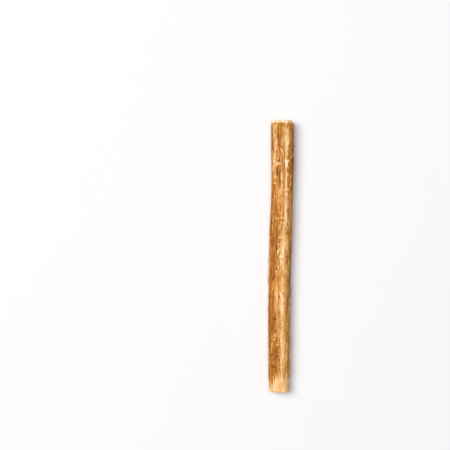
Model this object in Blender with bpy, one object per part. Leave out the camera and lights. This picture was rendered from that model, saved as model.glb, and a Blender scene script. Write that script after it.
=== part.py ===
"""A miswak stick: a length cut from a root of the toothbrush tree, lying on its side.

It grew as one piece, so it is one solid. The frame has +Y along the stick, +Z up, and its origin under the
middle of the stick, on the surface that it lies on. A place on the bark is given by how far it is along the
stick from the middle, and by its turn about the pith line: 0 faces up, and 90 degrees faces +X.
"""

import math
from collections import namedtuple

import bmesh
import bpy
from mathutils import Vector

MM = 0.001

# The driving sizes
LENGTH = 150.0 * MM
TOP_RADIUS = 6.15 * MM
FOOT_RADIUS = 5.80 * MM
BARK_THICKNESS = 0.36 * MM
REST_DEPTH = 0.26 * MM

# The crook: the pith line steps sideways over a stretch of the stick, and waves slightly up and down,
# which brings the underside lowest at two places, half a wave either side of the middle
CROOK_SIDEWAYS = 1.00 * MM
CROOK_ALONG = 12.0 * MM
CROOK_STRETCH = 25.0 * MM
SAG_HEIGHT = 0.07 * MM
SAG_WAVE = 104.0 * MM

# The cross-section: slightly oval, with three soft lobes that wind round the stick
OVAL = 0.018
OVAL_TURN = math.radians(72.0)
LOBES = 0.016
LOBE_WIND = math.radians(70.0) / LENGTH
SWELL = 0.06 * MM
SWELL_WAVE = 47.0 * MM

# The furrows: shallow grooves that run the whole length and wander a little
FURROWS = 11
FURROW_DEPTH = 0.26 * MM
FURROW_BREADTH = 0.66 * MM
FURROW_WANDER = math.radians(9.0)
GOLDEN_TURN = math.radians(137.508)

# Where the bark was scraped through: along and reach are in mm, turn is in degrees, breadth is a half-width in mm
Scrape = namedtuple("Scrape", "along turn reach breadth")
SCRAPES = (
    Scrape(48.0, 17.0, 30.0, 1.0),
    Scrape(-6.0, 13.0, 34.0, 2.2),
    Scrape(-52.0, 13.0, 22.0, 1.1),
    Scrape(-27.0, -27.0, 14.0, 1.7),
    Scrape(58.0, -52.0, 9.0, 0.9),
    Scrape(26.0, 124.0, 36.0, 1.5),
    Scrape(-28.0, -128.0, 30.0, 1.8),
    Scrape(46.0, -98.0, 19.0, 1.1),
    Scrape(-40.0, 96.0, 21.0, 1.3),
    Scrape(4.0, -76.0, 12.0, 0.9),
)
SCRAPE_EDGE = 0.60 * MM

# Where side roots broke off: a low swelling with a hollow in its middle, all in mm but the turn
Knot = namedtuple("Knot", "along turn breadth height hollow")
KNOTS = (
    Knot(50.0, -27.0, 2.0, 0.60, 0.80),
    Knot(53.0, 61.0, 1.7, 0.55, 0.45),
    Knot(43.0, 44.0, 1.3, 0.25, 0.40),
    Knot(13.0, -72.0, 3.6, 0.60, 0.25),
    Knot(1.0, 4.0, 1.9, 0.30, 0.35),
    Knot(-57.0, -34.0, 1.7, 0.35, 0.45),
    Knot(-17.0, 118.0, 2.4, 0.75, 0.70),
    Knot(33.0, -140.0, 2.1, 0.45, 0.45),
    Knot(-49.0, 143.0, 1.8, 0.35, 0.35),
)
KNOT_STRETCH = 1.5

# The cracks that cross the bark: a shallow step down towards the foot, in mm but the turn and spread
Crack = namedtuple("Crack", "along turn spread depth")
CRACKS = (
    Crack(-41.0, -34.0, 36.0, 0.22),
    Crack(21.0, -14.0, 30.0, 0.16),
    Crack(-3.0, -62.0, 24.0, 0.16),
    Crack(30.0, 92.0, 34.0, 0.20),
    Crack(-24.0, 168.0, 30.0, 0.16),
)
CRACK_BREADTH = 1.3 * MM

# The foot, where the bark has peeled back to the wood along a wavy edge
PEEL_ALONG = -68.0 * MM
PEEL_WAVE = 3.0 * MM
PEEL_TURN = math.radians(28.0)
PEEL_EDGE = 1.2 * MM
PEEL_DEPTH = 0.38 * MM

# The cut ends: the rim is worn round, most of all on the upper end's right side
RIM_WEAR = 0.45 * MM
RIM_REACH = 0.90 * MM
CORNER_TURN = math.radians(80.0)
CORNER_WEAR = 0.70 * MM

# The rings of faces
SIDES = 60
RING_STEP = 2.25 * MM
FOOT_STEP = 1.15 * MM
FOOT_ZONE = 12.0 * MM
RIM_STEPS = (0.0, 0.25 * MM, 0.65 * MM, 1.25 * MM)

BARK_COLOUR = (0.60, 0.34, 0.12, 1.0)
BARK_ROUGHNESS = 0.6


def ease(share):
    """0 below 0, 1 above 1, and a smooth step between them."""
    share = min(1.0, max(0.0, share))
    return share * share * (3 - 2 * share)


def bell(offset):
    """1 at no offset, and falling away smoothly on both sides."""
    return math.exp(-2 * offset * offset)


def turn_between(turn, other):
    """The signed angle from other to turn, the short way round."""
    return math.remainder(turn - other, math.tau)


def taper(along):
    """The stick's mean radius at one place along it."""
    return FOOT_RADIUS + (TOP_RADIUS - FOOT_RADIUS) * (along / LENGTH + 0.5)


def pith(along):
    """The middle of the stick at one place along it, before the stick is set down."""
    sideways = CROOK_SIDEWAYS * math.tanh((along - CROOK_ALONG) / CROOK_STRETCH)
    height = taper(along) + SAG_HEIGHT * math.cos(math.tau * along / SAG_WAVE)
    return Vector((sideways, along, height))


def plain_radius(along, turn):
    """The tapering, slightly oval stick, with no marks on it."""
    swell = SWELL * math.sin(math.tau * along / SWELL_WAVE)
    oval = OVAL * math.cos(2 * (turn - OVAL_TURN))
    lobes = LOBES * math.cos(3 * (turn - LOBE_WIND * along))
    return (taper(along) + swell) * (1 + oval + lobes)


def furrow_depth(along, turn, radius):
    """How deep the lengthways furrows are at one place."""
    deepest = 0.0
    for number in range(FURROWS):
        wander = FURROW_WANDER * math.sin(along / (17 * MM) + 1.7 * number)
        across = radius * turn_between(turn, number * GOLDEN_TURN + wander)
        fade = 0.6 + 0.4 * math.sin(along / (11 * MM) + 2.3 * number)
        deepest = max(deepest, fade * bell(across / FURROW_BREADTH))
    return FURROW_DEPTH * deepest


def scraped(along, turn, radius):
    """0 where the bark is whole, and 1 where it was scraped through."""
    most = 0.0
    for scrape in SCRAPES:
        lengthways = (along - scrape.along * MM) / (scrape.reach * MM)
        if abs(lengthways) < 1:
            half = scrape.breadth * MM * math.sqrt(1 - lengthways**2)
            across = abs(radius * turn_between(turn, math.radians(scrape.turn)))
            most = max(most, ease((half - across) / SCRAPE_EDGE + 0.5))
    return most


def knot_rise(along, turn, radius):
    """How far the scars of the side roots stand out, less their hollows."""
    rise = 0.0
    for knot in KNOTS:
        lengthways = (along - knot.along * MM) / (KNOT_STRETCH * knot.breadth * MM)
        across = radius * turn_between(turn, math.radians(knot.turn)) / (knot.breadth * MM)
        away = math.hypot(lengthways, across)
        rise += MM * (knot.height * bell(away) - knot.hollow * bell(2.2 * away))
    return rise


def crack_depth(along, turn):
    """How deep the cracks across the bark are at one place."""
    depth = 0.0
    for crack in CRACKS:
        off = turn_between(turn, math.radians(crack.turn)) / math.radians(crack.spread)
        if abs(off) < 1:
            lengthways = (along - crack.along * MM) / CRACK_BREADTH
            depth += crack.depth * MM * (1 - off * off) * bell(lengthways)
    return depth


def peeled(along, turn):
    """1 on the bare wood of the foot, and 0 above the wavy edge of the bark."""
    edge = PEEL_ALONG + PEEL_WAVE * math.cos(turn - PEEL_TURN)
    edge += 0.2 * PEEL_WAVE * math.sin(5 * turn)
    return ease((edge - along) / PEEL_EDGE + 0.5)


def rim_loss(along, turn):
    """How far the worn rims of the two cut ends fall short of the full radius."""
    corner = CORNER_WEAR * bell(turn_between(turn, CORNER_TURN)) if along > 0 else 0.0
    wear = RIM_WEAR * (0.8 + 0.2 * math.sin(4 * turn)) + corner
    from_end = LENGTH / 2 - abs(along)
    return wear * max(0.0, 1 - from_end / (RIM_REACH + corner)) ** 2


def bark_point(along, turn):
    """The place on the stick's surface, before the stick is set down."""
    radius = plain_radius(along, turn)
    marked = radius + knot_rise(along, turn, radius)
    marked -= furrow_depth(along, turn, radius)
    marked -= crack_depth(along, turn)
    marked -= BARK_THICKNESS * scraped(along, turn, radius) * (1 - peeled(along, turn))
    marked -= PEEL_DEPTH * peeled(along, turn)
    marked -= rim_loss(along, turn)
    outward = Vector((math.sin(turn), 0.0, math.cos(turn)))
    return pith(along) + marked * outward


def ring_places():
    """How far along the stick each ring of corners is, from the foot to the top."""
    half = LENGTH / 2
    foot_end = -half + RIM_STEPS[-1]
    zone_end = -half + FOOT_ZONE
    top_start = half - RIM_STEPS[-1]
    foot_rings = round((zone_end - foot_end) / FOOT_STEP)
    body_rings = round((top_start - zone_end) / RING_STEP)
    places = [-half + step for step in RIM_STEPS]
    places += [foot_end + (zone_end - foot_end) * (n + 1) / foot_rings for n in range(foot_rings)]
    places += [zone_end + (top_start - zone_end) * (n + 1) / body_rings for n in range(body_rings)]
    places += [half - step for step in reversed(RIM_STEPS[:-1])]
    return places


def ring_of(along):
    """The corners of the cross-section at one place along the stick."""
    return [bark_point(along, math.tau * side / SIDES) for side in range(SIDES)]


def set_down(rings):
    """Lowers the stick until its lowest bark is REST_DEPTH under the surface, and flattens that bark."""
    lowest = min(corner.z for ring in rings for corner in ring)
    for ring in rings:
        for corner in ring:
            corner.z = max(0.0, corner.z - lowest - REST_DEPTH)


def centre_sideways(rings):
    """Puts the middle of the stick's whole breadth over the origin."""
    sides = [corner.x for ring in rings for corner in ring]
    middle = (min(sides) + max(sides)) / 2
    for ring in rings:
        for corner in ring:
            corner.x -= middle


def stick_mesh():
    """The closed skin of the stick: one circle extruded ring by ring and capped at both cuts."""
    rings = [ring_of(along) for along in ring_places()]
    set_down(rings)
    centre_sideways(rings)

    skin = bmesh.new()
    circle = bmesh.ops.create_circle(skin, segments=SIDES, radius=FOOT_RADIUS)["verts"]
    loop = list(circle)
    edges = list(skin.edges)
    for corner, place in zip(loop, rings[0]):
        corner.co = place
    foot_edges = edges
    for ring in rings[1:]:
        grown = bmesh.ops.extrude_edge_only(skin, edges=edges)["geom"]
        follower = {}
        new = {item for item in grown if isinstance(item, bmesh.types.BMVert)}
        for corner in loop:
            for edge in corner.link_edges:
                if edge.other_vert(corner) in new:
                    follower[corner] = edge.other_vert(corner)
        loop = [follower[corner] for corner in loop]
        edges = [item for item in grown if isinstance(item, bmesh.types.BMEdge)]
        edges = [edge for edge in edges if all(corner in new for corner in edge.verts)]
        for corner, place in zip(loop, ring):
            corner.co = place
    bmesh.ops.contextual_create(skin, geom=foot_edges)
    bmesh.ops.contextual_create(skin, geom=edges)
    bmesh.ops.recalc_face_normals(skin, faces=skin.faces)

    mesh = bpy.data.meshes.new("stick")
    skin.to_mesh(mesh)
    skin.free()
    return mesh


def bark_material():
    """The golden-brown bark."""
    material = bpy.data.materials.new("bark")
    material.use_nodes = True
    shader = material.node_tree.nodes["Principled BSDF"]
    shader.inputs["Base Color"].default_value = BARK_COLOUR
    shader.inputs["Roughness"].default_value = BARK_ROUGHNESS
    shader.inputs["Metallic"].default_value = 0.0
    return material


def main():
    for thing in list(bpy.data.objects):
        bpy.data.objects.remove(thing)
    stick = bpy.data.objects.new("stick", stick_mesh())
    bpy.context.scene.collection.objects.link(stick)
    stick.data.materials.append(bark_material())
    stick.data.shade_smooth()
    stick.data.set_sharp_from_angle(angle=math.radians(40.0))


main()
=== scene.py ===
"""A miswak stick on a pale floor: its bark, its bare wood and its cut ends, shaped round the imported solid.

The frame has +Y along the stick, +Z up, and its origin under the middle of the stick. A place on the bark is
given by how far it is along the stick from the middle, in mm, and by its turn: 0 faces up, and 90 degrees
faces +X.
"""

import math
import random
from collections import namedtuple

import bmesh
import bpy
from mathutils import Matrix, Vector


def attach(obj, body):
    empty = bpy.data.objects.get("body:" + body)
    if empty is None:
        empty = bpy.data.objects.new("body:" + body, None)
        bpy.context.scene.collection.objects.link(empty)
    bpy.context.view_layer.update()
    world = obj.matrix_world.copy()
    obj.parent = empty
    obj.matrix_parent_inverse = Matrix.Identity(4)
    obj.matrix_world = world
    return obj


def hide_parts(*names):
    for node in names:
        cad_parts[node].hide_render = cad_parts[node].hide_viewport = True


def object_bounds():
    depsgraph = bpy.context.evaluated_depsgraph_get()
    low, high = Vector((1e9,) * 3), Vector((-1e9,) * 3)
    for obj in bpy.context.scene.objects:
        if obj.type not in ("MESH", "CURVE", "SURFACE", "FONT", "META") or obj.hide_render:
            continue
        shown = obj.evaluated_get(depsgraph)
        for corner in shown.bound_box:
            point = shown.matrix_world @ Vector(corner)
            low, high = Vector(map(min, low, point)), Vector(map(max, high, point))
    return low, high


bl_info = {
    "name": "Miswak Stick",
    "version": (1, 0, 0),
    "blender": (4, 5, 0),
    "location": "3D View > Sidebar > Miswak",
    "description": "Builds a lying miswak stick with its bark, chips and fibres, and a plain studio",
    "category": "Object",
}

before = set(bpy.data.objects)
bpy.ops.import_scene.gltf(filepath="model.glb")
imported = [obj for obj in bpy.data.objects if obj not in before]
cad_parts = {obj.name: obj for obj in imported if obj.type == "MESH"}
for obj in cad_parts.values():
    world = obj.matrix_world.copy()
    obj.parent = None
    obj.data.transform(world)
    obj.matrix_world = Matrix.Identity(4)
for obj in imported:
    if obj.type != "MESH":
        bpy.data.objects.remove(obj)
CAD_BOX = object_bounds()
CAD_NODE = "stick"
BODY = "root"

MM = 0.001
LENGTH = (CAD_BOX[1].y - CAD_BOX[0].y) / MM

# The straight blank that the stick is shaped from, in mm: its rings come from cutting it twice over, and the
# steps are those from ring to ring on a cut face
BLANK_RADIUS = 6.0
BLANK_SIDES = 200
BLANK_CUTS = (42, 9)
CUT_FACE_STEPS = (0.12, 0.18, 0.25) + (0.3,) * 4 + (0.4,) * 9

# The pith line of the root, and how far from it a ray looks for the bark, in mm
TOP_RADIUS = 6.15
FOOT_RADIUS = 5.80
CROOK_ALONG = 12.0
CROOK_STRETCH = 25.0
PITH_SHIFT = -0.13
PITH_DROP = -0.22
RAY_REACH = 20.0

# A mark on the bark is an oval: reach is half its length and breadth half its width, in mm
Mark = namedtuple("Mark", "along turn reach breadth")


def marks(*rows):
    """The marks in a table whose rows are along, turn, reach and breadth."""
    return [Mark(*row) for row in rows]


# Scraped bare wood; the first three, at turns 13 to 17, also run under the pale streak that is partly a
# painted highlight
SCRAPES = marks(
    (48, 17, 30, 1), (-6, 13, 34, 2.2), (-52, 13, 22, 1.1), (-22, -25, 11, 1.1), (58, -52, 9, 0.9),
    (26, 124, 36, 1.5), (-28, -128, 30, 1.8), (46, -98, 19, 1.1), (-40, 96, 21, 1.3), (4, -76, 12, 0.9),
)
# Pale streaks of scraped wood; the long one at turns 8 to 28 along the top is partly a painted highlight
PALE_WOOD_AND_HIGHLIGHT_STREAKS = marks(
    (70, 16, 6, 1), (60, 17, 9, 1.2), (49, 20, 8, 1.35), (39, 18, 9, 1), (26, 19, 13, 1),
    (66.7, 8, 7.8, 0.62), (66.7, 28, 6.7, 0.63), (2.4, 13, 15, 2.28), (-25.4, 15, 17.7, 1.84),
    (-46, 9, 9, 1), (-60, 10, 11, 1.05), (-52, 26, 12, 1.05), (72.4, -56, 3.4, 2.4),
    (61.7, -36, 5, 0.75), (60, -48, 7.8, 0.75), (40.1, -7, 10, 0.61), (33.4, -46, 5.5, 0.64),
    (-22.3, -16, 9, 0.9), (-50, -48, 5, 0.5), (51.4, 20, 3.4, 0.8), (9, 24, 14.4, 0.97),
    (28.4, 49, 11.1, 0.59), (12, 150, 24, 1.1), (-50, -165, 16, 1), (56, 170, 14, 1.2),
    (20, -112, 13, 0.8),
)
# Brown patches of bark; the long ones on the two flanks, at turns of about 56 to 80 each way, are partly
# painted shade where the stick turns away from the light
BROWN_BARK_AND_FLANK_SHADE = marks(
    (66.6, -21, 9.6, 1.7), (68, 42, 6, 0.9), (48.9, 56, 27.7, 1.4), (47.8, 31, 14.4, 1.04),
    (3.5, -35, 10.5, 2.44), (-8.7, -44, 8.9, 2), (41.7, -20, 5, 0.71), (-4.3, 65, 20, 1.97),
    (-25.4, 43, 7.8, 0.9), (-33.5, -33, 8, 1.5), (29, -44, 9, 1), (-55.3, -27, 15.5, 3.7),
    (-27.6, -47, 18.9, 1.3), (-58.6, 50, 11.1, 0.5), (-70.8, -39, 2.8, 0.64), (-70.3, 21, 2.8, 0.48),
    (73, -6, 1.7, 0.89), (70.8, -24, 3.4, 1.6), (47.3, -31, 3.9, 1.1), (28.4, 33, 10, 0.93),
    (25.6, -32, 6.7, 0.92), (-52, -12, 7, 1.3), (-60, -44, 11, 2.2), (-20, -60, 22, 1.5),
    (-40, -72, 38, 1.8), (22, -66, 24, 1.6), (56, -74, 20, 1.5), (38, -56, 8, 1), (-4, 80, 24, 1.2),
    (-18, 118, 12, 2.4), (30, -140, 18, 2.4), (-46, 140, 17, 2.2), (-5, -108, 15, 2), (60, 100, 11, 2),
    (-58, -100, 12, 2.3), (8, 178, 16, 1.8),
)
# Dark spots in the bark; the thin crosswise ones just above lifted chips, at 52.8 and -41.1 mm, are painted
# shadows of those chips
DARK_SPOTS_AND_CHIP_SHADOWS = marks(
    (52.8, -25, 0.8, 1.5), (46.4, -31, 2.3, 0.78), (52.8, 57, 2.8, 1.43), (43.4, 28, 1, 0.63),
    (19.2, -41, 0.9, 1.03), (4.3, -22, 2.5, 0.72), (-0.1, -16, 2, 0.58), (-41.1, -18, 0.8, 2.1),
    (-34.2, -30, 0.8, 1.9), (-60.9, -36, 1.2, 1.17), (17.9, 34, 1.3, 0.6), (12.9, 39, 1.8, 0.78),
    (-3.2, 40, 2.6, 0.58), (-6.8, -21, 1.9, 0.59), (-22.3, -2, 1.1, 0.44), (-68.1, -30, 1.1, 0.64),
    (39, 58, 4.4, 1.05), (-17, 118, 1.4, 0.9), (33, -140, 1.2, 0.8), (-49, 143, 1.1, 0.7),
    (-57, -34, 1, 0.6),
)
# Torn chips of pale inner bark; some of them, at turns 14 to 33 near the top, are painted highlights coloured
# on as pale chips
TORN_CHIPS_AND_GLINTS = marks(
    (50.7, -36, 0.6, 1.1), (51.4, -23, 0.6, 1.3), (43.7, -42, 0.9, 0.97), (40.3, -45, 0.6, 1.02),
    (51.2, 21, 2.3, 0.53), (59.1, 14, 0.7, 0.57), (36.8, 15, 0.7, 1.3), (36.8, 33, 0.5, 0.6),
    (34.1, 20, 0.45, 1.3), (44.2, 44, 0.4, 0.62), (55.3, 58, 0.7, 0.84), (20.9, -24, 0.6, 0.9),
    (21.3, 3, 0.5, 1.7), (18.4, 0, 0.9, 0.67), (16.4, -10, 0.9, 0.51), (10.5, -7, 0.7, 0.56),
    (7, -6, 0.7, 0.67), (2.7, -14, 1.1, 0.63), (1.7, 12, 0.7, 0.51), (-0.1, 3, 0.9, 1),
    (-3, 8, 0.4, 1.2), (-5.6, -10, 1.4, 0.51), (-8.3, -18, 0.6, 0.52), (-48.7, -14, 1.3, 0.46),
    (-45.6, -26, 0.5, 1.1), (-43.6, -24, 1.1, 0.5), (-20.7, 5, 1.1, 0.56), (-20.6, 19, 0.8, 0.47),
)

# Where a pale, whitish sheen is painted on the bark
PAINTED_SHEEN_STRETCHES = marks(
    (56, -52, 20, 2), (26, -47, 20, 1.8), (-12, -48, 18, 1.4), (30, 19, 22, 0.9), (-52, -60, 18, 1.2),
    (36, -165, 22, 2.2), (-24, 130, 24, 2), (8, 88, 20, 1.8),
)

# The foot, where the bark has peeled back to the wood along a torn edge: its middle and its wave in mm, and
# the turn at which the bare wood reaches farthest up. Its teeth are long and short, in mm
PEEL_ALONG = -69.5
PEEL_WAVE = 4.5
PEEL_TURN = 38
LONG_TEETH = 14
SHORT_TEETH = 9

# How far down the upper rim is bare, and how ragged the edge of its bark is, in mm
RIM_BARE = 1.25
RIM_RAGGED = 3.2

# How far each kind of mark stands out of the stick or sinks into it, in mm
FIBRE_RISE = 0.07
RIB_RISE = 0.10
CRACK_DEPTH = 0.09
BROWN_RISE = 0.06
STREAK_DEPTH = 0.07
LENS_DEPTH = 0.10
PIT_DEPTH = 0.14
SPOT_DEPTH = 0.13
CHIP_RISE = 0.15

# The relief, which also paints shade into the bark's hollows and pales its ridges, is measured from a surface
# that is blurred so many times
BLUR_ROUNDS = 14

# The fine bumps in the materials, in mm, and how strongly each surface reflects
BARK_BUMPS = 0.07
CHIP_BUMPS = 0.04
BARK_GLOSS = 0.15
CHIP_GLOSS = 0.20

# The cut faces are within this share of the radius, and face at least so far along the stick
CUT_SHARE = 0.998
CUT_FACING = 0.7

# How uneven the saw left them, in mm, and how much the foot's left side slants
SAW_MARKS = 0.22
GRIT = 0.34
FOOT_SLANT = 0.07

# Edges that turn more than this stay sharp, in degrees
STICK_SHARP = 65
FLAKE_SHARP = 40


class Wire:
    """A socket of a node tree. Python's operators on it add their Math nodes to the tree."""

    def __init__(self, tree, socket=None):
        self.tree = tree
        self.socket = socket

    def node(self, kind, settings=None, inputs=None, output=0):
        """Adds a node, sets its settings, then gives its sockets their values or links."""
        made = self.tree.nodes.new(kind)
        for name, value in (settings or {}).items():
            if name == "stops":
                spread_stops(made.color_ramp, value)
            else:
                setattr(made, name, value)
        for key, value in (inputs or {}).items():
            socket = find_socket(made.inputs, key)
            if isinstance(value, Wire):
                self.tree.links.new(value.socket, socket)
            else:
                socket.default_value = value
        return Wire(self.tree, find_socket(made.outputs, output) if made.outputs else None)

    def maths(self, operation, *terms):
        """A Math node on the terms."""
        return self.node("ShaderNodeMath", {"operation": operation}, dict(enumerate(terms)))

    def __add__(self, other):
        return self.maths("ADD", self, other)

    __radd__ = __add__

    def __sub__(self, other):
        return self.maths("SUBTRACT", self, other)

    def __rsub__(self, other):
        return self.maths("SUBTRACT", other, self)

    def __mul__(self, other):
        return self.maths("MULTIPLY", self, other)

    __rmul__ = __mul__

    def __truediv__(self, other):
        return self.maths("DIVIDE", self, other)

    def least(self, other):
        return self.maths("MINIMUM", self, other)

    def most(self, other):
        return self.maths("MAXIMUM", self, other)

    def bell(self, spread):
        """1 where the value is 0, falling away smoothly to both sides."""
        offset = self / spread
        return self.maths("EXPONENT", offset * offset * -2)

    def ease(self, low, high):
        """0 up to low, 1 from high on, and a smooth step between them."""
        limits = {"Value": self, "From Min": low, "From Max": high}
        return self.node("ShaderNodeMapRange", {"interpolation_type": "SMOOTHSTEP"}, limits)

    def vector(self, operation, *terms, output=0):
        """A Vector Math node on the terms."""
        return self.node("ShaderNodeVectorMath", {"operation": operation}, dict(enumerate(terms)), output)

    def plus(self, other):
        return self.vector("ADD", self, other)

    def minus(self, other):
        return self.vector("SUBTRACT", self, other)

    def times(self, factors):
        return self.vector("MULTIPLY", self, factors)

    def scaled(self, factor):
        return self.node("ShaderNodeVectorMath", {"operation": "SCALE"}, {0: self, "Scale": factor})

    def dot(self, other):
        return self.vector("DOT_PRODUCT", self, other, output="Value")

    def size(self):
        return self.vector("LENGTH", self, output="Value")

    def parts(self):
        split = self.node("ShaderNodeSeparateXYZ", inputs={0: self}).socket.node
        return [Wire(self.tree, socket) for socket in split.outputs]

    def joined(self, x, y, z):
        return self.node("ShaderNodeCombineXYZ", inputs={0: x, 1: y, 2: z})

    def noise(self, stretch, detail=2.0, roughness=0.5, output=0):
        """Soft noise about 0.5, at so many lumps a mm each way."""
        inputs = {"Vector": self.times(stretch), "Scale": 1.0, "Detail": detail, "Roughness": roughness}
        return self.node("ShaderNodeTexNoise", inputs=inputs, output=output)

    def cells(self, stretch, feature="F1", output="Distance"):
        """How far the nearest of many scattered points is, or a chance colour for each point."""
        inputs = {"Vector": self.times(stretch), "Scale": 1.0}
        return self.node("ShaderNodeTexVoronoi", {"feature": feature}, inputs, output)

    def blend(self, low, high):
        """A colour that goes from low to high as this value goes from 0 to 1."""
        inputs = {"Factor": self, "A": low, "B": high}
        return self.node("ShaderNodeMix", {"data_type": "RGBA"}, inputs, "Result")


def find_socket(sockets, key):
    """The socket at a number, or the first one in use with that name."""
    if isinstance(key, int):
        return sockets[key]
    return next(socket for socket in sockets if socket.enabled and socket.name == key)


def spread_stops(ramp, stops):
    """Gives a colour ramp its stops, each a place and a colour."""
    while len(ramp.elements) < len(stops):
        ramp.elements.new(1.0)
    for element, (place, colour) in zip(ramp.elements, stops):
        element.position = place
        element.color = colour


def deselect():
    """Leaves edit mode and selects nothing."""
    if bpy.context.object and bpy.context.object.mode != "OBJECT":
        bpy.ops.object.mode_set(mode="OBJECT")
    bpy.ops.object.select_all(action="DESELECT")


def choose(thing):
    """Makes one object the active and only selected one."""
    deselect()
    thing.select_set(True)
    bpy.context.view_layer.objects.active = thing


def pick(thing, kind, wanted):
    """In edit mode, selects the corners, edges or faces that are wanted, and nothing else."""
    bpy.ops.mesh.select_mode(type=kind)
    bpy.ops.mesh.select_all(action="DESELECT")
    skin = bmesh.from_edit_mesh(thing.data)
    for item in {"VERT": skin.verts, "EDGE": skin.edges, "FACE": skin.faces}[kind]:
        if wanted(item):
            item.select_set(True)
    skin.select_flush_mode()
    bmesh.update_edit_mesh(thing.data)


def is_lengthways(edge):
    return abs(edge.verts[0].co.y - edge.verts[1].co.y) > 0.05 * MM


def is_cut_face(face):
    return abs(face.normal.y) > 0.9


def named(thing, name):
    thing.name = name
    thing.data.name = name
    return thing


def smooth_solid():
    """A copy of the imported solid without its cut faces, made smooth, for the blank to be fitted to."""
    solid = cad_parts[CAD_NODE].copy()
    solid.data = solid.data.copy()
    solid.parent = None
    bpy.context.scene.collection.objects.link(solid)
    choose(solid)
    bpy.ops.object.mode_set(mode="EDIT")
    bpy.ops.mesh.select_all(action="SELECT")
    bpy.ops.mesh.remove_doubles(threshold=0.001 * MM)
    pick(solid, "FACE", is_cut_face)
    bpy.ops.mesh.delete(type="FACE")
    bpy.ops.mesh.select_all(action="SELECT")
    bpy.ops.mesh.tris_convert_to_quads(face_threshold=math.radians(60), shape_threshold=math.radians(60))
    bpy.ops.object.mode_set(mode="OBJECT")
    rounding = solid.modifiers.new("rounding", "SUBSURF")
    rounding.levels = 2
    rounding.render_levels = 2
    bpy.ops.object.modifier_apply(modifier=rounding.name)
    return named(solid, "smooth_solid")


def straight_blank():
    """A straight round blank along the stick, cut into narrow rings, with rings on its two cut faces too."""
    deselect()
    bpy.ops.mesh.primitive_cylinder_add(
        vertices=BLANK_SIDES,
        radius=BLANK_RADIUS * MM,
        depth=LENGTH * MM,
        end_fill_type="NGON",
        rotation=(math.pi / 2, 0.0, 0.0),
    )
    blank = bpy.context.object
    bpy.ops.object.transform_apply(location=True, rotation=True, scale=True)
    bpy.ops.object.mode_set(mode="EDIT")
    for cuts in BLANK_CUTS:
        pick(blank, "EDGE", is_lengthways)
        bpy.ops.mesh.subdivide(number_cuts=cuts)
    pick(blank, "FACE", is_cut_face)
    for step in CUT_FACE_STEPS:
        bpy.ops.mesh.inset(thickness=step * MM)
    bpy.ops.mesh.poke()
    bpy.ops.object.mode_set(mode="OBJECT")
    return named(blank, "miswak_stick")


def nearness(grown, table):
    """How near the closest mark is: 1 at its middle, 0 on its edge, and below 0 outside it."""
    closest = None
    for mark in table:
        turn = math.radians(mark.turn)
        middle = (BLANK_RADIUS * math.sin(turn), mark.along, BLANK_RADIUS * math.cos(turn))
        spread = (1 / mark.breadth, 1 / mark.reach, 1 / mark.breadth)
        away = grown.minus(middle).times(spread).size()
        closest = away if closest is None else closest.least(away)
    return 1 - closest


def strand_places(grown):
    """The bark's own places, drifted as its strands grew, and how ragged its torn edges are."""
    drift = grown.noise((0.09, 0.022, 0.09), output="Color").minus((0.5, 0.5, 0.5))
    ragged = grown.noise((1.6, 0.30, 1.6), 4.0, 0.6, output="Color").minus((0.5, 0.5, 0.5))
    return grown.plus(drift.times((2.6, 0.0, 2.6))), ragged


def plates(strands, ragged):
    """The long plates of the bark: a chance value for each, and the fine cracks between them."""
    places = strands.plus(ragged.times((0.9, 3.4, 0.9)))
    value = places.cells((0.80, 0.20, 0.80), output="Color").parts()[0]
    open_here = (strands.noise((0.5, 0.16, 0.5), 1.0) - 0.5).ease(-0.05, 0.10)
    cracks = (1 - places.cells((0.80, 0.20, 0.80), "DISTANCE_TO_EDGE").ease(0.01, 0.07)) * open_here
    return value, cracks


def kept(geometry, name, value, kind="FLOAT", domain="POINT"):
    """Keeps a value on the mesh under a name, for the material to read."""
    settings = {"data_type": kind, "domain": domain}
    inputs = {"Geometry": geometry, "Name": name, "Value": value}
    return geometry.node("GeometryNodeStoreNamedAttribute", settings, inputs)


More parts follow.
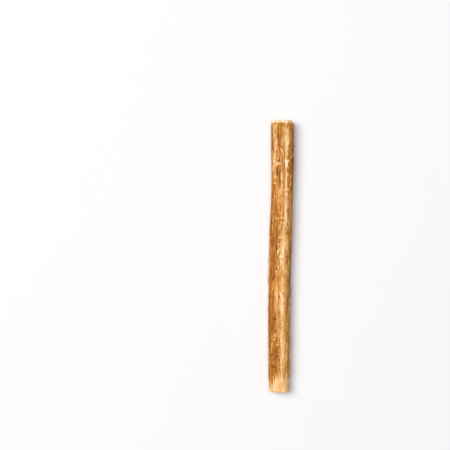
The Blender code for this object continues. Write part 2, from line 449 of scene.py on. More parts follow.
def root_tree(solid, sizes):
    """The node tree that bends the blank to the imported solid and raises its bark."""
    tree = bpy.data.node_groups.new("root and bark", "GeometryNodeTree")
    tree.interface.new_socket("Geometry", in_out="INPUT", socket_type="NodeSocketGeometry")
    tree.interface.new_socket("Geometry", in_out="OUTPUT", socket_type="NodeSocketGeometry")
    start = Wire(tree)
    stick = start.node("NodeGroupInput")
    place = start.node("GeometryNodeInputPosition").times((1 / MM,) * 3)
    sideways, along, up = place.parts()
    spoke = start.joined(sideways, 0.0, up)
    share = spoke.size() / BLANK_RADIUS
    outward = spoke.vector("NORMALIZE", spoke)
    grown = outward.scaled(BLANK_RADIUS).plus(start.joined(0.0, along, 0.0))

    # The solid's own shape, read from just inside its ends
    half = LENGTH / 2 - 0.01
    within = along.least(half).most(-half)
    taper = within * ((TOP_RADIUS - FOOT_RADIUS) / LENGTH) + (TOP_RADIUS + FOOT_RADIUS) / 2
    crook = start.maths("TANH", (within - CROOK_ALONG) / CROOK_STRETCH)
    pith = start.joined(crook + PITH_SHIFT, within, taper + PITH_DROP)
    target = start.node("GeometryNodeObjectInfo", inputs={"Object": solid}, output="Geometry")
    rays = {
        "Target Geometry": target,
        "Source Position": pith.scaled(MM),
        "Ray Direction": outward,
        "Ray Length": RAY_REACH * MM,
    }
    solid_radius = start.node("GeometryNodeRaycast", inputs=rays, output="Hit Distance") / MM

    # What the bark did as it grew, what was scraped off it, and the marks that paint highlights, shade and
    # sheen on it
    strands, ragged = strand_places(grown)
    frayed = grown.plus(ragged.times((1.4, 5.5, 1.4)))
    plate, cracks = plates(strands, ragged)
    ribs = strands.noise((0.45, 1.1, 0.45), 2.0, 0.6) - 0.5
    wrinkle = strands.noise((0.75, 0.045, 0.75), 3.0, 0.55) - 0.5
    groove = (strands.noise((0.40, 0.028, 0.40), 1.0) - 0.5).bell(0.030)
    fibre = strands.noise((2.3, 0.12, 2.3)) - 0.5
    skin = strands.noise((0.46, 0.085, 0.46), 4.0, 0.62)
    lens = grown.noise((0.33, 1.9, 0.33), 1.0)
    pits = grown.cells((0.30, 0.24, 0.30))
    scraped = nearness(frayed, SCRAPES)
    pale = nearness(frayed, PALE_WOOD_AND_HIGHLIGHT_STREAKS)
    brown = nearness(frayed, BROWN_BARK_AND_FLANK_SHADE)
    dark = nearness(frayed, DARK_SPOTS_AND_CHIP_SHADOWS)
    dull = nearness(frayed, PAINTED_SHEEN_STRETCHES)
    chip = nearness(grown.plus(ragged.times((1.0, 1.3, 1.0))), TORN_CHIPS_AND_GLINTS)
    peel = math.radians(PEEL_TURN)
    edge = outward.dot((math.sin(peel), 0.0, math.cos(peel))) * PEEL_WAVE + PEEL_ALONG
    teeth = (strands.noise((0.75, 0.03, 0.75), 2.0, 0.6) - 0.53) * LONG_TEETH
    teeth = teeth + (strands.noise((2.0, 0.05, 2.0), 3.0, 0.6) - 0.5) * SHORT_TEETH
    torn_rim = (strands.noise((0.6, 0.0, 0.6), 3.0, 0.6) - 0.5) * RIM_RAGGED
    rim = along - (LENGTH / 2 - RIM_BARE) + torn_rim
    bare = (edge - along + teeth).most(rim * 3)

    # The relief, in mm
    bark = (1 - bare.ease(-0.2, 0.5)) * (1 - scraped.ease(-0.1, 0.25))
    raised = wrinkle * sizes.wrinkle_depth / MM
    raised = raised - groove * (sizes.groove_depth / MM) * (0.35 + 0.65 * bark)
    raised = raised + fibre * FIBRE_RISE + (ribs * RIB_RISE - cracks * CRACK_DEPTH) * bark
    raised = raised + (plate - 0.5) * (sizes.plate_step / MM) * (0.3 + 0.7 * bark)
    raised = raised + skin.ease(0.47, 0.50) * (sizes.skin_thickness / MM) * bark
    raised = raised + brown.ease(-0.1, 0.2) * BROWN_RISE * bark
    raised = raised - pale.ease(-0.1, 0.3) * STREAK_DEPTH
    raised = raised - lens.ease(0.66, 0.74) * LENS_DEPTH * bark
    raised = raised - (1 - pits.ease(0.09, 0.20)) * PIT_DEPTH * bark
    raised = raised - dark.ease(0.0, 0.9) * SPOT_DEPTH
    raised = raised + chip.ease(0.0, 0.35) * CHIP_RISE
    radius = solid_radius + raised
    blur = {"Value": radius, "Iterations": BLUR_ROUNDS}
    relief = radius - start.node("GeometryNodeBlurAttribute", {"data_type": "FLOAT"}, blur)

    # The two cut faces
    on_cut = share.maths("LESS_THAN", share, CUT_SHARE)
    kerf = spoke.noise((0.30, 0.0, 2.2), 1.0) - 0.5
    grit = spoke.noise((1.6, 0.0, 1.6), 3.0) - 0.5
    rough = on_cut * along.maths("SIGN", along) * (kerf * SAW_MARKS + grit * GRIT)
    slant = (0 - sideways).most(0.0) * (0 - along).ease(68.0, 75.0) * FOOT_SLANT
    end = along + rough + slant

    x, _, z = pith.plus(outward.scaled(radius * share)).parts()
    final = start.joined(x, end, z.most(0.0)).scaled(MM)

    # What the material reads
    normal = start.node("GeometryNodeInputNormal", output="Normal").parts()[1]
    cut = start.maths("GREATER_THAN", start.maths("ABSOLUTE", normal), CUT_FACING)
    stick = kept(stick, "cut", cut, domain="FACE")
    stick = kept(stick, "grown", grown, "FLOAT_VECTOR")
    stick = kept(stick, "spoke", spoke, "FLOAT_VECTOR")
    values = dict(share=share, relief=relief, skin=skin, scraped=scraped, pale=pale, brown=brown, dark=dark)
    values.update(dull=dull, chip=chip, bare=bare, rim=rim, lens=lens, pits=pits, groove=groove)
    for name, value in values.items():
        stick = kept(stick, name, value)
    moved = start.node("GeometryNodeSetPosition", inputs={"Geometry": stick, "Position": final})
    start.node("NodeGroupOutput", inputs={0: moved})
    return tree


def new_material(name, shown):
    """A material with its surface shader, and a loose wire to build its nodes on."""
    material = bpy.data.materials.new(name)
    material.use_nodes = True
    material.diffuse_color = shown
    shader = material.node_tree.nodes["Principled BSDF"]
    return material, shader, Wire(material.node_tree)


def read(start, name, output="Fac"):
    """A value that the mesh keeps under a name."""
    return start.node("ShaderNodeAttribute", {"attribute_name": name}, output=output)


def finish_surface(start, shader, colour, roughness, height, depth):
    """Links the three things that vary over a surface: its colour, its roughness and its bumps."""
    bumps = {"Strength": 1.0, "Distance": depth, "Height": height}
    normal = start.node("ShaderNodeBump", inputs=bumps, output="Normal")
    for name, wire in (("Base Color", colour), ("Roughness", roughness), ("Normal", normal)):
        start.tree.links.new(wire.socket, shader.inputs[name])


def tone_stops(colours):
    """The colours of the stick by tone, from the darkest hollow, partly painted shade, at 0 to fresh torn
    wood at 1.
    """
    return (
        (0.04, colours.deep),
        (0.24, colours.brown),
        (0.46, colours.golden),
        (0.66, colours.tan),
        (0.86, colours.pale),
        (1.0, colours.cream),
    )


def bark_material(colours):
    """The golden-brown bark, the paler wood where it was scraped or torn off, and the two cut faces."""
    material, shader, start = new_material("miswak bark", colours.golden)
    grown = read(start, "grown", "Vector")
    strands, ragged = strand_places(grown)
    plate, cracks = plates(strands, ragged)
    ribs = strands.noise((0.45, 1.4, 0.45), 3.0, 0.6) - 0.5
    streak = strands.noise((1.15, 0.055, 1.15), 3.0, 0.6) - 0.5
    fibre = strands.noise((3.4, 0.20, 3.4), 2.0, 0.6) - 0.5
    thread = strands.noise((9.0, 0.5, 9.0), 2.0, 0.6) - 0.5
    blotch = grown.noise((0.20, 0.05, 0.20), 2.0) - 0.5
    speck = grown.noise((2.6, 1.7, 2.6), 3.0, 0.65) - 0.5
    mottle = grown.noise((0.75, 0.34, 0.75), 4.0, 0.7) - 0.5
    crumb = grown.noise((1.3, 0.8, 1.3)) - 0.5
    fine = fibre * 0.9 + speck * 0.5

    relief = read(start, "relief")
    skin = (read(start, "skin") + fibre * 0.05).ease(0.465, 0.500)
    scraped = (read(start, "scraped") + fine * 0.5).ease(-0.05, 0.30)
    pale = (read(start, "pale") + fine * 0.6 + mottle * 0.5).ease(-0.10, 0.45)
    pale_core_and_highlight = (read(start, "pale") + fine * 0.7 + mottle * 0.5).ease(0.45, 0.95)
    # brown darkens the bark: brown bark, and on the flanks partly painted shade
    brown = (read(start, "brown") + fine * 0.6).ease(-0.05, 0.45)
    dark = (read(start, "dark") + fine * 0.5 + mottle * 0.7).ease(0.0, 0.5)
    dull = (read(start, "dull") + fine * 0.5).ease(0.0, 0.5)
    # rim pales the top rim: bare wood, and partly a painted highlight along its edge
    rim = (read(start, "rim") + fibre * 1.6 + speck * 0.6 + mottle * 1.4).ease(-0.6, 0.5)
    chip = (read(start, "chip") + fine * 0.9 + mottle * 0.7).ease(-0.20, 0.25)
    bare = (read(start, "bare") + fibre * 6.0 + mottle * 4.0).ease(-1.2, 1.6)
    cross = read(start, "lens") - 0.5
    lens = (cross + fibre * 0.03).ease(0.16, 0.22)
    pits = 1 - (read(start, "pits") + speck * 0.05).ease(0.08, 0.20)
    groove = read(start, "groove")

    # How pale each place is: 0 in the darkest hollow, partly painted shade, and 1 on fresh torn wood
    wood = scraped.most(bare)
    bark = 1 - wood
    calm = grown.noise((0.13, 0.045, 0.13), 1.0).ease(0.44, 0.58)
    grainy = streak * 0.33 + fibre * 0.38 + thread * 0.26 + crumb * 0.34
    tone = 0.43 + grainy * (1.1 - 0.45 * calm) + blotch * 0.26 + mottle * 0.56
    tone = tone + (plate - 0.5) * 0.20 + cross * 0.26
    tone = tone + ribs * 0.20 * (0.4 + 0.6 * bark) - cracks * 0.16 * bark
    # relief paints shade and light: hollows darker and ridges paler, by how deep or high they stand
    tone = tone - skin * 0.07 * bark + relief * 0.95
    tone = tone - groove * 0.14 * (0.3 + 0.7 * bark)
    # The pale streaks and their core lighten the bark: pale wood, and along the top partly a painted
    # highlight
    tone = tone + scraped * 0.10 + bare * 0.30 + pale * 0.20 - brown * 0.19 * (1 - 0.6 * bare)
    tone = tone + pale_core_and_highlight * 0.22 - pits * 0.13 * bark + lens * 0.10 * bark
    # dark spots darken the bark: dark bark, and above some chips a painted shadow
    tone = (tone - dark * 0.28) * 0.92 + 0.036
    # Chips lighten the bark: torn pale bark, and some of them painted highlights
    tone = tone + chip * (0.25 + fine * 0.5) + rim * 0.15
    stops = {"stops": tone_stops(colours)}
    tinted = start.node("ShaderNodeValToRGB", stops, {"Fac": tone}, "Color")

    # Some stretches are greener, and on some a pale, whitish sheen is painted
    warmth = (strands.noise((0.55, 0.03, 0.55), 2.0) - 0.5).ease(-0.10, 0.06)
    warmth = warmth.most(brown * 0.5).most(bare * 0.85)
    olive = start.node(
        "ShaderNodeMix",
        {"data_type": "RGBA", "blend_type": "MULTIPLY"},
        {"Factor": 1.0, "A": tinted, "B": colours.olive_tint},
        "Result",
    )
    sheen_spread = strands.noise((0.8, 0.12, 0.8), 3.0, 0.6) + speck * 0.3 - 0.5 + dull * 0.12
    sheen_share = sheen_spread.ease(-0.04, 0.12) * tone.ease(0.33, 0.63)
    sides = (sheen_share * (0.42 + dull * 0.42)).blend(warmth.blend(olive, tinted), tuple(colours.sheen_colour))

    # The cut faces: the wood with its dots, rays and check, the growing layer and the ring of bark
    spoke = read(start, "spoke", "Vector")
    uneven = spoke.noise((0.42, 0.0, 0.42), 3.0) - 0.5
    thickness = grown.noise((0.22, 0.0, 0.22), 2.0) - 0.5
    share = read(start, "share") + speck * 0.03 + uneven * 0.10 + thickness * 0.16
    pored = spoke.plus(ragged.times((0.5, 0.0, 0.5)))
    sparse = pored.cells((1.7, 0.0, 1.7), output="Color").parts()[0].ease(0.25, 0.75)
    dots = (1 - pored.cells((1.7, 0.0, 1.7)).ease(0.10, 0.32)) * sparse
    check = (spoke.dot((0.8, 0.0, 0.6)) + uneven * 0.8).bell(0.06)
    check = check * spoke.dot((0.6, 0.0, -0.8)).ease(0.1, 0.9) * (1 - share.ease(0.45, 0.70))
    rays = (grown.noise((1.9, 0.0, 1.9), 2.0) - 0.5).bell(0.035) * share.ease(0.05, 0.35)
    rings = share.maths("SINE", share * 26)
    kerf = spoke.noise((0.35, 0.0, 3.0), 2.0) - 0.5
    bark_ring = share.ease(0.80, 0.84)
    outer_skin = share.ease(0.94, 0.985)
    growing = (share - 0.82).bell(0.022)
    end_tone = 0.90 - rays * 0.20 + rings * 0.03 + kerf * 0.22 + speck * 0.40 + uneven * 0.5
    end_tone = end_tone - check * 0.45 - dots * 0.24 * (1 - bark_ring)
    end_tone = end_tone - bark_ring * 0.22 - outer_skin * 0.24 - growing * 0.22
    end_tone = end_tone - (1 - share.ease(0.03, 0.11)) * 0.28
    ends = start.node("ShaderNodeValToRGB", stops, {"Fac": end_tone}, "Color")
    cut = read(start, "cut")
    colour = cut.blend(sides, ends)

    roughness = 0.56 + wood * 0.10 + fibre * 0.22 - relief * 0.5 + cut * 0.08
    height = fibre * 0.5 + thread * 0.35 + speck * 0.25 * bark
    height = height + cut * (dots * -0.6 - check * 1.5 + kerf * 0.6)
    finish_surface(start, shader, colour, roughness, height, BARK_BUMPS * MM)
    shader.inputs["Specular IOR Level"].default_value = BARK_GLOSS
    return material


def shape_stick(settings):
    """The whole stick, from a straight blank."""
    solid = smooth_solid()
    stick = straight_blank()
    choose(stick)
    growth = stick.modifiers.new("root and bark", "NODES")
    growth.node_group = root_tree(solid, settings.sizes)
    bpy.ops.object.modifier_apply(modifier=growth.name)
    bpy.data.objects.remove(solid)
    bpy.ops.object.shade_smooth_by_angle(angle=math.radians(STICK_SHARP))
    stick.data.materials.clear()
    stick.data.materials.append(bark_material(settings.colours))
    return stick


# A lifted flake lies on the bark: its length and breadth in mm, its twist off the stick's own line in
# degrees, its lift as a share of its model's, and how pale it is
Flake = namedtuple("Flake", "along turn length breadth twist lift tone")
# The palest of these, near turns 14 to 21, are partly painted highlights: pale flakes laid where a glint is
PLACED_FLAKES_AND_GLINTS = (
    (51.0, -36, 2.6, 1.1, 70, 0.7, 0.88), (51.7, -24, 2.2, 1.0, 68, 0.7, 0.84),
    (43.9, -42, 1.5, 0.9, 20, 0.8, 0.80), (40.4, -46, 1.2, 0.8, 65, 0.8, 0.92),
    (50.4, 21, 3.4, 0.8, 3, 0.2, 1.10), (52.4, 21, 3.0, 0.8, -4, 0.2, 1.10),
    (59.0, 14, 1.3, 0.7, 30, 0.6, 0.92), (36.8, 15, 1.5, 0.7, 82, 0.6, 0.90),
    (36.9, 33, 1.0, 0.6, 60, 0.6, 0.86), (34.2, 20, 1.7, 0.5, 84, 0.6, 0.93),
    (33.2, 26, 1.6, 0.4, -38, 0.5, 0.80), (21.3, 3, 2.4, 0.5, 86, 0.5, 0.82),
    (20.9, -24, 1.2, 0.6, 70, 0.6, 0.78), (16.6, -9, 1.5, 0.5, -24, 0.6, 0.82),
    (10.5, -8, 1.1, 0.6, 10, 0.6, 0.86), (6.9, -7, 1.1, 0.7, 40, 0.7, 0.84),
    (2.9, -13, 1.6, 0.7, 14, 0.7, 0.84), (1.6, 11, 1.1, 0.6, -20, 0.5, 0.88),
    (-0.2, 2, 1.2, 0.8, 50, 0.6, 0.96), (-3.0, 9, 1.8, 0.5, 86, 0.4, 0.92),
    (-5.8, -9, 1.8, 0.5, 12, 0.6, 0.86), (-8.4, -18, 1.0, 0.7, 30, 0.7, 0.90),
    (-48.4, -14, 1.7, 0.5, 16, 0.6, 0.82), (-45.6, -24, 1.4, 0.5, 74, 0.6, 0.80),
)

# Each of those is a heap of so many leaves. A number from each range multiplies a leaf's length, breadth and
# lift, and moves its other values
CHIP_LEAVES = 3
LEAVES = Flake((-0.45, 0.45), (-8, 8), (0.4, 0.8), (0.4, 0.8), (-24, 24), (0.5, 1.1), (-0.1, 0.1))

# The loose flakes and the strips lie by chance, within these ranges. A few flakes lie crosswise
CROSSINGS = (0, 0, 0, 0, 0, 80)
LOOSE = Flake((-66, 73), ((-180, 180),), (0.8, 2.8), (0.3, 0.8), (-14, 14), (0.3, 1.3), (0.36, 0.76))
STRIPS = Flake((-62, 66), ((-180, -40), (35, 180)), (3.5, 8.0), (0.45, 0.9), (-5, 5), (0.9, 2.0), (0.3, 0.6))

# The flake's model is 1 mm long and broad: each of its rows is narrowed, shifted and lifted in turn, and
# each of its columns has a place and a lift
FLAKE_WIDTHS = (0.90, 1.05, 0.92, 0.98, 0.76, 0.70, 0.40, 0.12)
FLAKE_SHIFTS = (0.0, 0.03, -0.06, 0.05, 0.09, -0.03, 0.12, 0.20)
FLAKE_LIFTS = (-0.16, -0.05, 0.01, 0.05, 0.12, 0.18, 0.29, 0.36)
FLAKE_COLUMNS = ((-0.5, 0.06), (-0.25, -0.01), (0.0, -0.03), (0.25, 0.02), (0.5, 0.09))
FLAKE_THICKNESS = 0.06

# A fibre's place is so far from the middle, in mm. It tilts outwards and leans sideways by these shares, and
# its bend is a share of its length
Fibre = namedtuple("Fibre", "along tilt lean length bend")
FOOT_FIBRES = Fibre((73.5, 67.5), (0.0, 0.07), (-0.14, 0.14), (1.0, 3.2), (0.1, 0.5))
RIM_FIBRES = Fibre((74.0, 74.9), (-0.1, 0.5), (-0.5, 0.5), (0.3, 1.3), (0.6, 1.4))
TUFTS = Fibre(None, None, (-0.9, 0.9), (0.25, 0.7), (0.6, 1.4))
ON_FOOT = 0.4

# The fibre's model is 1 mm long: each of its rings is narrowed and bent over
FIBRE_WIDTHS = (1.0, 0.90, 0.76, 0.58, 0.40, 0.20)
FIBRE_BENDS = (0.0, 0.02, 0.07, 0.13, 0.17, 0.15)
FIBRE_HALF_WIDTH = 0.055
FIBRE_ROOT = 0.15

# Nothing is laid on bark that is nearer the floor than this, in mm
FLAKE_LOWEST = 1.2
FIBRE_LOWEST = 1.5

# The tufts on the cut faces keep inside this share of the radius, and their rays start this far out, in mm
TUFT_SHARE = 0.94
TUFT_RAY = 10.0
CHANCE_SEED = 11


def pith_across(along):
    """How far the pith line is from the middle plane, in mm."""
    return math.tanh((along - CROOK_ALONG) / CROOK_STRETCH) + PITH_SHIFT


def on_bark(stick, along, turn):
    """The place on the finished stick at that turn, and the way that the bark faces there."""
    outward = Vector((math.sin(math.radians(turn)), 0.0, math.cos(math.radians(turn))))
    middle = Vector((pith_across(along), along, FOOT_RADIUS)) * MM
    found, place, facing, _ = stick.ray_cast(middle + outward * RAY_REACH * MM, -outward)
    if not found:
        raise RuntimeError(f"no bark at {along} mm, {turn} degrees")
    return place, facing


def laid(place, facing, heading, scale):
    """Where a copy lies: its root at a place, +Z along facing and +Y towards heading, sized each way."""
    side = heading.cross(facing).normalized()
    heading = facing.cross(side).normalized()
    turned = Matrix((side, heading, facing.normalized())).transposed().to_4x4()
    return Matrix.Translation(place) @ turned @ Matrix.Diagonal((*scale, 1.0))


def copy_of(model, matrix, root_tone, tip_tone):
    """A copy with its own mesh, its place in the mesh, and how pale it is from root to tip kept on it."""
    made = model.copy()
    made.data = model.data.copy()
    bpy.context.scene.collection.objects.link(made)
    paleness = made.data.attributes.new("tone", "FLOAT", "POINT")
    for corner, value in zip(made.data.vertices, paleness.data):
        value.value = root_tone + (tip_tone - root_tone) * corner.co.y / MM
    made.data.transform(matrix)
    return made


def join_up(copies, model, name):
    """Joins all the copies to one piece and removes the model that they were copied from."""
    bpy.data.objects.remove(model)
    deselect()
    for made in copies:
        made.select_set(True)
    bpy.context.view_layer.objects.active = copies[0]
    bpy.ops.object.join()
    bpy.ops.object.mode_set(mode="EDIT")
    bpy.ops.mesh.select_all(action="SELECT")
    bpy.ops.mesh.normals_make_consistent(inside=False)
    bpy.ops.object.mode_set(mode="OBJECT")
    bpy.ops.object.shade_smooth_by_angle(angle=math.radians(FLAKE_SHARP))
    return named(bpy.context.object, name)


def shape_rows(thing, widths, moves):
    """Narrows and moves each row of corners in turn, on a model that runs 1 mm along +Y from its root."""
    for number, (width, move) in enumerate(zip(widths, moves)):
        level = number / (len(widths) - 1) * MM
        pick(thing, "VERT", lambda corner: abs(corner.co.y - level) < 0.01 * MM)
        bpy.ops.transform.resize(value=(width, 1.0, width), center_override=(0.0, level, 0.0))
        bpy.ops.transform.translate(value=(move[0] * MM, 0.0, move[1] * MM))


def flake_model():
    """One flake of bark, 1 mm each way: a thin curled leaf with uneven sides, whose free end stands up."""
    deselect()
    bpy.ops.mesh.primitive_grid_add(
        x_subdivisions=len(FLAKE_COLUMNS) - 1,
        y_subdivisions=len(FLAKE_WIDTHS) - 1,
        size=MM,
        location=(0.0, MM / 2, 0.0),
    )
    flake = bpy.context.object
    bpy.ops.object.transform_apply(location=True, rotation=True, scale=True)
    bpy.ops.object.mode_set(mode="EDIT")
    for place, lift in FLAKE_COLUMNS:
        pick(flake, "VERT", lambda corner: abs(corner.co.x - place * MM) < 0.01 * MM)
        bpy.ops.transform.translate(value=(0.0, 0.0, lift * MM))
    shape_rows(flake, FLAKE_WIDTHS, tuple(zip(FLAKE_SHIFTS, FLAKE_LIFTS)))
    bpy.ops.object.mode_set(mode="OBJECT")
    body = flake.modifiers.new("thickness", "SOLIDIFY")
    body.thickness = FLAKE_THICKNESS * MM
    bpy.ops.object.modifier_apply(modifier=body.name)
    return flake


def fibre_model():
    """One wood fibre, 1 mm long, bent over towards its tip."""
    deselect()
    bpy.ops.mesh.primitive_cylinder_add(
        vertices=5,
        radius=FIBRE_HALF_WIDTH * MM,
        depth=MM,
        location=(0.0, MM / 2, 0.0),
        rotation=(math.pi / 2, 0.0, 0.0),
    )
    fibre = bpy.context.object
    bpy.ops.object.transform_apply(location=True, rotation=True, scale=True)
    bpy.ops.object.mode_set(mode="EDIT")
    pick(fibre, "EDGE", is_lengthways)
    bpy.ops.mesh.subdivide(number_cuts=len(FIBRE_WIDTHS) - 2)
    shape_rows(fibre, FIBRE_WIDTHS, [(bend * 0.6, bend) for bend in FIBRE_BENDS])
    bpy.ops.object.mode_set(mode="OBJECT")
    return fibre


def flake_by_chance(chance, ranges, crossed=0):
    """A flake with its values drawn from their ranges, pointing either way along the stick or across it."""
    along = chance.uniform(*ranges.along)
    turns = [chance.uniform(*side) for side in ranges.turn]
    turn = chance.choice(turns) if len(turns) > 1 else turns[0]
    length = chance.uniform(*ranges.length)
    breadth = chance.uniform(*ranges.breadth)
    twist = crossed + chance.uniform(*ranges.twist) + chance.choice((0, 180))
    lift = chance.uniform(*ranges.lift)
    return Flake(along, turn, length, breadth, twist, lift, chance.uniform(*ranges.tone))


def shape_flakes(stick, settings):
    """The lifted flakes: those at known places in leaves, some pale where they paint a highlight, then loose
    ones and strips by chance.
    """
    chance = random.Random(CHANCE_SEED)
    flakes = []
    for chip in (Flake(*row) for row in PLACED_FLAKES_AND_GLINTS):
        for _ in range(CHIP_LEAVES):
            flakes.append(
                Flake(
                    along=chip.along + chance.uniform(*LEAVES.along),
                    turn=chip.turn + chance.uniform(*LEAVES.turn),
                    length=chip.length * chance.uniform(*LEAVES.length),
                    breadth=chip.breadth * chance.uniform(*LEAVES.breadth),
                    twist=chip.twist + chance.uniform(*LEAVES.twist),
                    lift=chip.lift * chance.uniform(*LEAVES.lift),
                    tone=chip.tone + chance.uniform(*LEAVES.tone),
                )
            )
    for _ in range(settings.sizes.flake_count):
        flakes.append(flake_by_chance(chance, LOOSE, chance.choice(CROSSINGS)))
    for _ in range(settings.sizes.strip_count):
        flakes.append(flake_by_chance(chance, STRIPS))
    model = flake_model()
    copies = []
    for flake in flakes:
        place, facing = on_bark(stick, flake.along, flake.turn)
        if place.z < FLAKE_LOWEST * MM:
            continue
        heading = Matrix.Rotation(math.radians(flake.twist), 3, facing) @ Vector((0.0, 1.0, 0.0))
        root = place - heading * flake.length / 2 * MM
        hand = chance.choice((-1, 1))
        matrix = laid(root, facing, heading, (hand * flake.breadth, flake.length, flake.lift))
        copies.append(copy_of(model, matrix, flake.tone - 0.22, flake.tone + 0.08))
    return join_up(copies, model, "bark_flakes")


def grown_fibre(model, place, growing, length, bend, chance):
    """A copy of the fibre, rooted a little under the surface, that bends to a side of its own."""
    beside = Matrix.Rotation(chance.uniform(0, 2 * math.pi), 3, growing) @ growing.orthogonal().normalized()
    thickness = chance.uniform(0.7, 1.3)
    root = place - growing * FIBRE_ROOT * MM
    matrix = laid(root, beside, growing, (thickness, length, length * bend))
    tone = chance.uniform(0.60, 0.90)
    return copy_of(model, matrix, tone, tone + 0.10)


def shape_fibres(stick, settings):
    """The frayed fibres on the peeled foot and the rims of the cuts, and short tufts on the cut faces."""
    chance = random.Random(CHANCE_SEED)
    model = fibre_model()
    copies = []
    for number in range(settings.sizes.fibre_count):
        turn = chance.uniform(-180, 180)
        end = -1 if number % 4 else 1  # three in four are at the foot
        ranges = FOOT_FIBRES if chance.random() < ON_FOOT and end == -1 else RIM_FIBRES
        along = end * chance.uniform(*ranges.along)
        tilt = chance.uniform(*ranges.tilt)
        lean = chance.uniform(*ranges.lean)
        length = chance.uniform(*ranges.length)
        bend = chance.uniform(*ranges.bend)
        place, facing = on_bark(stick, along, turn)
        if place.z < FIBRE_LOWEST * MM:
            continue
        side = facing.cross(Vector((0.0, 1.0, 0.0)))
        growing = (Vector((0.0, end, 0.0)) + facing * tilt + side * lean).normalized()
        copies.append(grown_fibre(model, place, growing, length, bend, chance))
    for number in range(2 * settings.sizes.tuft_count):
        end = 1 if number % 2 else -1
        turn = chance.uniform(-math.pi, math.pi)
        share = math.sqrt(chance.uniform(0.0, 0.86))
        spoke = Vector((math.sin(turn), 0.0, math.cos(turn))) * share * BLANK_RADIUS * TUFT_SHARE
        aim = Vector((pith_across(end * LENGTH / 2), end * (LENGTH / 2 + TUFT_RAY), FOOT_RADIUS)) + spoke
        found, place, facing, _ = stick.ray_cast(aim * MM, Vector((0.0, -end, 0.0)))
        if not found:
            continue
        lean = Vector((chance.uniform(*TUFTS.lean), 0.0, chance.uniform(*TUFTS.lean)))
        growing = (Vector((0.0, end, 0.0)) + lean).normalized()
        length = chance.uniform(*TUFTS.length)
        bend = chance.uniform(*TUFTS.bend)
        copies.append(grown_fibre(model, place, growing, length, bend, chance))
    return join_up(copies, model, "frayed_fibres")


def chip_material(colours):
    """Torn flakes and fibres: grain along the stick, from brown bark to cream wood by each one's paleness."""
    material, shader, start = new_material("torn bark and fibre", colours.pale)
    place = start.node("ShaderNodeTexCoord", output="Object").times((1 / MM,) * 3)
    grain = place.noise((4.0, 0.7, 4.0), 2.0, 0.6) - 0.5
    speck = place.noise((2.2, 1.6, 2.2), 3.0, 0.6) - 0.5
    streak = place.noise((1.3, 0.22, 1.3), 3.0, 0.6) - 0.5
    tone = read(start, "tone") + grain * 0.40 + speck * 0.35 + streak * 0.40
    colour = start.node("ShaderNodeValToRGB", {"stops": tone_stops(colours)}, {"Fac": tone}, "Color")
    finish_surface(start, shader, colour, 0.62 + grain * 0.2, grain + speck * 0.5, CHIP_BUMPS * MM)
    shader.inputs["Specular IOR Level"].default_value = CHIP_GLOSS
    return material


def depth_property(name, description, default):
    """A depth in the bark that a user can change, with its default in mm."""
    return bpy.props.FloatProperty(name=name, description=description, default=default * MM, unit="LENGTH")


def count_property(name, description, default, least=0):
    """A number of like pieces that a user can change."""
    return bpy.props.IntProperty(name=name, description=description, default=default, min=least)


class MiswakSizes(bpy.types.PropertyGroup):
    """How deep the bark's relief is, and how many flakes and fibres there are."""

    wrinkle_depth: depth_property("Wrinkle depth", "How deep the lengthways wrinkles are", 0.34)
    groove_depth: depth_property("Groove depth", "How deep the few long grooves are", 0.20)
    plate_step: depth_property("Plate step", "How unevenly the long plates of the bark stand", 0.12)
    skin_thickness: depth_property("Skin thickness", "How far the outer skin stands over the bark", 0.09)
    flake_count: count_property("Flakes", "How many lifted flakes lie all round the stick", 110)
    strip_count: count_property("Strips", "How many long strips of bark have come up", 16)
    fibre_count: count_property("Fibres", "How many fibres fray off the foot and the two rims", 140, 1)
    tuft_count: count_property("Tufts", "How many fibres stand out of each cut face", 110)


def colour_property(name, description, default):
    """A colour that a user can change."""
    return bpy.props.FloatVectorProperty(
        name=name, description=description, default=(*default, 1.0), size=4, min=0.0, max=1.0, subtype="COLOR"
    )


class MiswakColours(bpy.types.PropertyGroup):
    """The colours of the bark and the wood, from the darkest to the palest."""

    # Deep brown also colours the painted shade in the hollows
    deep: colour_property("Deep brown", "Hollows and cracks", (0.215, 0.068, 0.008))
    brown: colour_property("Brown", "The outer skin of the bark", (0.420, 0.145, 0.017))
    golden: colour_property("Golden brown", "Most of the bark", (0.570, 0.246, 0.052))
    tan: colour_property("Tan", "Ridges and thin bark", (0.730, 0.385, 0.120))
    # The pale and cream tones also colour the painted highlights on the streak and on some chips
    pale: colour_property("Pale wood", "Scraped and bare wood", (0.869, 0.555, 0.277))
    cream: colour_property("Cream", "Torn chips and fresh fibres", (0.909, 0.777, 0.611))
    # The colour of the painted sheen on some stretches of bark
    sheen_colour: colour_property("Painted sheen", "The dull bloom on some stretches of bark", (0.76, 0.52, 0.34))
    olive_tint: colour_property("Olive tint", "The tint of the greener stretches", (0.88, 0.97, 0.90))
    floor: colour_property("Floor", "The floor and the air round it", (0.73, 0.722, 0.735))


class MiswakStudio(bpy.types.PropertyGroup):
    """How strong the studio's lights are."""

    key_power: bpy.props.FloatProperty(
        name="Key light", description="Power of the light from the upper left", default=40.0, unit="POWER"
    )
    top_power: bpy.props.FloatProperty(
        name="Top light", description="Power of the broad light overhead", default=34.0, unit="POWER"
    )
    fill_strength: bpy.props.FloatProperty(
        name="Fill", description="Strength of the light from all round", default=0.17
    )


class MiswakSettings(bpy.types.PropertyGroup):
    """All that a user would change, kept with the scene."""

    sizes: bpy.props.PointerProperty(
        name="Sizes", description="The bark's relief, and the number of flakes and fibres", type=MiswakSizes
    )
    colours: bpy.props.PointerProperty(
        name="Colours", description="The colours of the bark, the wood and the floor", type=MiswakColours
    )
    studio: bpy.props.PointerProperty(
        name="Studio", description="How strong the studio's lights are", type=MiswakStudio
    )


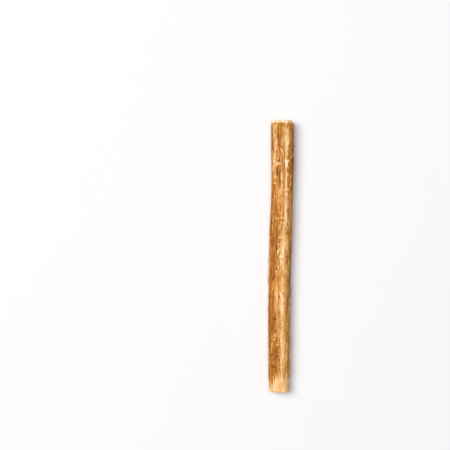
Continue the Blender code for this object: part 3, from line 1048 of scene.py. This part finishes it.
class MISWAK_OT_stick(bpy.types.Operator):
    """Shapes the stick from a straight blank and gives it its bark"""

    bl_idname = "miswak.stick"
    bl_label = "Stick"

    def execute(self, context):
        stick = shape_stick(context.scene.miswak)
        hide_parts(CAD_NODE)
        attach(stick, BODY)
        return {"FINISHED"}


class MISWAK_OT_flakes(bpy.types.Operator):
    """Lays the lifted flakes of bark on the stick"""

    bl_idname = "miswak.flakes"
    bl_label = "Bark flakes"

    def execute(self, context):
        settings = context.scene.miswak
        flakes = shape_flakes(bpy.data.objects["miswak_stick"], settings)
        flakes.data.materials.append(chip_material(settings.colours))
        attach(flakes, BODY)
        return {"FINISHED"}


class MISWAK_OT_fibres(bpy.types.Operator):
    """Frays the two ends of the stick"""

    bl_idname = "miswak.fibres"
    bl_label = "Frayed fibres"

    def execute(self, context):
        settings = context.scene.miswak
        fibres = shape_fibres(bpy.data.objects["miswak_stick"], settings)
        fibres.data.materials.append(chip_material(settings.colours))
        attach(fibres, BODY)
        return {"FINISHED"}


# The studio, in metres but for the lens in mm: the camera looks straight down, with the top of the frame
# towards +Y
CAMERA_PLACE = (-0.0311, 0.01733, 0.699)
CAMERA_LENS = 100.0
CAMERA_NEAREST = 0.01
KEY_PLACE = (-1.02, 0.45, 2.04)
KEY_BREADTH = 1.26
TOP_PLACE = (-0.12, 0.15, 2.40)
TOP_BREADTH = 1.50
FLOOR_BREADTH = 12.0


def floor_material(colour):
    """Matt paper, barely uneven."""
    material, shader, start = new_material("studio floor", colour)
    place = start.node("ShaderNodeTexCoord", output="Object")
    mottle = place.noise((35.0, 35.0, 35.0), 2.0) - 0.5
    lighter = tuple(min(1.0, part * 1.01) for part in colour[:3]) + (1.0,)
    tint = (0.5 + mottle).blend(tuple(colour), lighter)
    start.tree.links.new(tint.socket, shader.inputs["Base Color"])
    shader.inputs["Roughness"].default_value = 0.9
    shader.inputs["Specular IOR Level"].default_value = 0.1
    return material


def add_soft_light(name, place, breadth, power):
    """A round soft light that faces the stick."""
    bpy.ops.object.light_add(type="AREA", location=place)
    light = named(bpy.context.object, name)
    light.data.shape = "DISK"
    light.data.size = breadth
    light.data.energy = power
    light.rotation_euler = Vector(place).to_track_quat("Z", "Y").to_euler()


class MISWAK_OT_studio(bpy.types.Operator):
    """Lays the pale floor, and sets up the soft light and the camera"""

    bl_idname = "miswak.studio"
    bl_label = "Studio"

    def execute(self, context):
        settings = context.scene.miswak
        deselect()
        bpy.ops.mesh.primitive_plane_add(size=FLOOR_BREADTH)
        floor = named(context.object, "studio_floor")
        floor.data.materials.append(floor_material(settings.colours.floor))

        add_soft_light("key_light", KEY_PLACE, KEY_BREADTH, settings.studio.key_power)
        add_soft_light("top_light", TOP_PLACE, TOP_BREADTH, settings.studio.top_power)

        world = bpy.data.worlds.new("studio air")
        world.use_nodes = True
        air = world.node_tree.nodes["Background"]
        air.inputs["Color"].default_value = (1.0, 1.0, 1.0, 1.0)
        air.inputs["Strength"].default_value = settings.studio.fill_strength
        context.scene.world = world

        bpy.ops.object.camera_add(location=CAMERA_PLACE, rotation=(0.0, 0.0, 0.0))
        camera = named(context.object, "camera")
        camera.data.lens = CAMERA_LENS
        camera.data.clip_start = CAMERA_NEAREST
        context.scene.camera = camera
        context.scene.view_settings.view_transform = "Standard"
        return {"FINISHED"}


class MISWAK_PT_panel(bpy.types.Panel):
    """Lists the pieces and what can be changed about them."""

    bl_idname = "MISWAK_PT_panel"
    bl_label = "Miswak Stick"
    bl_space_type = "VIEW_3D"
    bl_region_type = "UI"
    bl_category = "Miswak"

    def draw(self, context):
        settings = context.scene.miswak
        for group in (settings.sizes, settings.colours, settings.studio):
            box = self.layout.box()
            for name in group.__annotations__:
                box.prop(group, name)
        for operator in PIECES:
            self.layout.operator(operator.bl_idname)


GROUPS = (MiswakSizes, MiswakColours, MiswakStudio, MiswakSettings)
PIECES = (MISWAK_OT_stick, MISWAK_OT_flakes, MISWAK_OT_fibres, MISWAK_OT_studio)
CLASSES = GROUPS + PIECES + (MISWAK_PT_panel,)


def register():
    for made in CLASSES:
        bpy.utils.register_class(made)
    bpy.types.Scene.miswak = bpy.props.PointerProperty(
        name="Miswak stick", description="All that can be changed about the stick", type=MiswakSettings
    )


def unregister():
    del bpy.types.Scene.miswak
    for made in reversed(CLASSES):
        bpy.utils.unregister_class(made)


def main():
    register()
    bpy.ops.miswak.stick()
    bpy.ops.miswak.flakes()
    bpy.ops.miswak.fibres()
    bpy.ops.miswak.studio()


if __name__ == "__main__":
    main()
